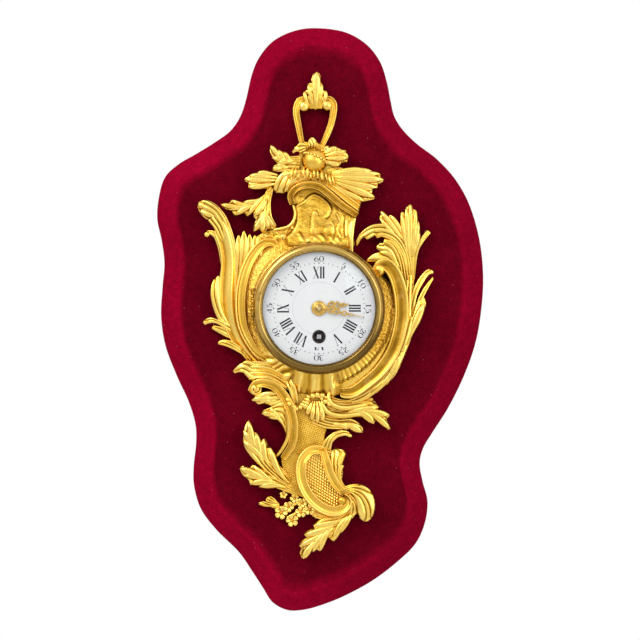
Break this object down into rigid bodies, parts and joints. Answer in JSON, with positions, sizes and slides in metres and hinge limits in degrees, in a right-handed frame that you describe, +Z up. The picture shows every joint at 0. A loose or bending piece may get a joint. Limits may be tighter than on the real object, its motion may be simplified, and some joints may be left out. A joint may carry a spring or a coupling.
{
  "type": "cartel wall clock",
  "caption": "Rococo cartel wall clock: gilt cast case with enamel dial, hinged domed-glass bezel and spring-wound movement, on a shaped velvet-covered hanging board.",
  "frame": {"origin": "centre of the hanger plate's round keyhole, on the wall plane behind the board", "axes": "+X right as seen from the front, +Y into the wall, +Z up"},
  "size_m": [0.2138, 0.0424, 0.3829],
  "materials": {
    "wood": "plain, unfinished",
    "velvet": "short crimson pile",
    "gilt": "gilded, matt ground with burnished ridges",
    "bezel_brass": "turned and polished",
    "movement_brass": "fine grained",
    "steel": "polished",
    "blued_steel": "blued",
    "enamel": "white enamel with black painted figures",
    "glass": "clear"
  },
  "bodies": {
    "clock": {"board_panel": "wood", "velvet_cover": "velvet", "velvet_tacks": "steel", "hanger_plate": "steel", "hanger_screws": "steel", "case_body": "gilt", "hood": "gilt", "crest_leaves": "gilt", "fruit": "gilt", "hanging_loop": "gilt", "left_spray": "gilt", "left_frond": "gilt", "right_spray": "gilt", "neck": "gilt", "bead_garland": "gilt", "foot_cartouche": "gilt", "lower_left_leaves": "gilt", "flower_sprig": "gilt", "tail_leaf": "gilt", "case_studs": "movement_brass", "case_nuts": "movement_brass", "dial_ring": "bezel_brass", "bezel_hinge_pin": "steel", "dial": "enamel", "winding_grommet": "bezel_brass", "front_plate": "movement_brass", "back_plate": "movement_brass", "pillars": "movement_brass", "plate_screws": "blued_steel", "movement_screws": "blued_steel", "click_spring": "steel", "platform": "movement_brass", "balance_cock": "movement_brass", "drum_case": "movement_brass", "back_cover": "movement_brass"},
    "bezel_leaf": {"bezel": "bezel_brass", "glass": "glass"},
    "minute_work": {"minute_hand": "bezel_brass", "hand_nut": "bezel_brass", "cannon_pinion": "steel"},
    "hour_work": {"hour_hand": "bezel_brass", "hour_wheel": "movement_brass"},
    "minute_wheel_work": {"minute_wheel": "movement_brass"},
    "going_barrel": {"barrel": "movement_brass", "barrel_cap": "movement_brass", "mainspring": "steel"},
    "winding_work": {"winding_arbor": "steel", "ratchet_wheel": "steel"},
    "click_work": {"click": "steel"},
    "intermediate_work": {"intermediate_wheel": "movement_brass"},
    "centre_work": {"centre_wheel": "movement_brass"},
    "third_work": {"third_wheel": "movement_brass"},
    "fourth_work": {"fourth_wheel": "movement_brass"},
    "escape_work": {"escape_wheel": "movement_brass"},
    "lever_work": {"pallet_lever": "steel"},
    "balance_work": {"balance_wheel": "movement_brass", "balance_spring": "blued_steel"},
    "index_work": {"regulator_index": "steel"}
  },
  "joints": [
    {"name": "bezel_hinge", "type": "hinge", "parent": "clock", "child": "bezel_leaf", "pos_m": [-0.0432, -0.0335, -0.15], "axis": [0, 0, -1], "range_deg": [0, 95]},
    {"name": "minute_turn", "type": "hinge", "parent": "clock", "child": "minute_work", "pos_m": [0, -0.0368, -0.15], "axis": [0, 1, 0], "continuous": true},
    {"name": "hour_turn", "type": "hinge", "parent": "clock", "child": "hour_work", "pos_m": [0, -0.0359, -0.15], "axis": [0, 1, 0], "continuous": true},
    {"name": "minute_wheel_turn", "type": "hinge", "parent": "clock", "child": "minute_wheel_work", "pos_m": [0.00564, -0.03, -0.14795], "axis": [0, 1, 0], "continuous": true},
    {"name": "centre_turn", "type": "hinge", "parent": "clock", "child": "centre_work", "pos_m": [0, -0.0134, -0.15], "axis": [0, 1, 0], "continuous": true},
    {"name": "intermediate_turn", "type": "hinge", "parent": "clock", "child": "intermediate_work", "pos_m": [-0.00957, -0.012, -0.15433], "axis": [0, 1, 0], "continuous": true},
    {"name": "barrel_turn", "type": "hinge", "parent": "clock", "child": "going_barrel", "pos_m": [0, -0.02, -0.1685], "axis": [0, 1, 0], "continuous": true},
    {"name": "third_turn", "type": "hinge", "parent": "clock", "child": "third_work", "pos_m": [0.00468, -0.0174, -0.1419], "axis": [0, 1, 0], "continuous": true},
    {"name": "fourth_turn", "type": "hinge", "parent": "clock", "child": "fourth_work", "pos_m": [-0.00429, -0.0203, -0.14112], "axis": [0, 1, 0], "continuous": true},
    {"name": "escape_turn", "type": "hinge", "parent": "clock", "child": "escape_work", "pos_m": [-0.00825, -0.0069, -0.13426], "axis": [0, 1, 0], "continuous": true},
    {"name": "winding_turn", "type": "hinge", "parent": "clock", "child": "winding_work", "pos_m": [0, -0.03, -0.1685], "axis": [0, 1, 0], "continuous": true},
    {"name": "click_lift", "type": "hinge", "parent": "clock", "child": "click_work", "pos_m": [0.0066, -0.03, -0.162], "axis": [0, 1, 0], "range_deg": [0, 9]},
    {"name": "lever_swing", "type": "hinge", "parent": "clock", "child": "lever_work", "pos_m": [-0.00365, -0.0069, -0.13426], "axis": [0, 1, 0], "range_deg": [-5, 5]},
    {"name": "balance_swing", "type": "hinge", "parent": "clock", "child": "balance_work", "pos_m": [0.00235, -0.0038, -0.13426], "axis": [0, 1, 0], "range_deg": [-135, 135], "deforming": ["balance_spring"]},
    {"name": "index_turn", "type": "hinge", "parent": "clock", "child": "index_work", "pos_m": [0.00235, -0.0014, -0.13426], "axis": [0, 1, 0], "range_deg": [-25, 25]}
  ],
  "couplings": [
    {"joint": "hour_turn", "follows": "minute_turn", "ratio": 0.083333},
    {"joint": "minute_wheel_turn", "follows": "minute_turn", "ratio": -0.33333},
    {"joint": "centre_turn", "follows": "minute_turn", "ratio": 1},
    {"joint": "intermediate_turn", "follows": "minute_turn", "ratio": -0.16667},
    {"joint": "barrel_turn", "follows": "minute_turn", "ratio": 0.020833},
    {"joint": "third_turn", "follows": "minute_turn", "ratio": -7.5},
    {"joint": "fourth_turn", "follows": "minute_turn", "ratio": 60},
    {"joint": "escape_turn", "follows": "minute_turn", "ratio": -600}
  ]
}
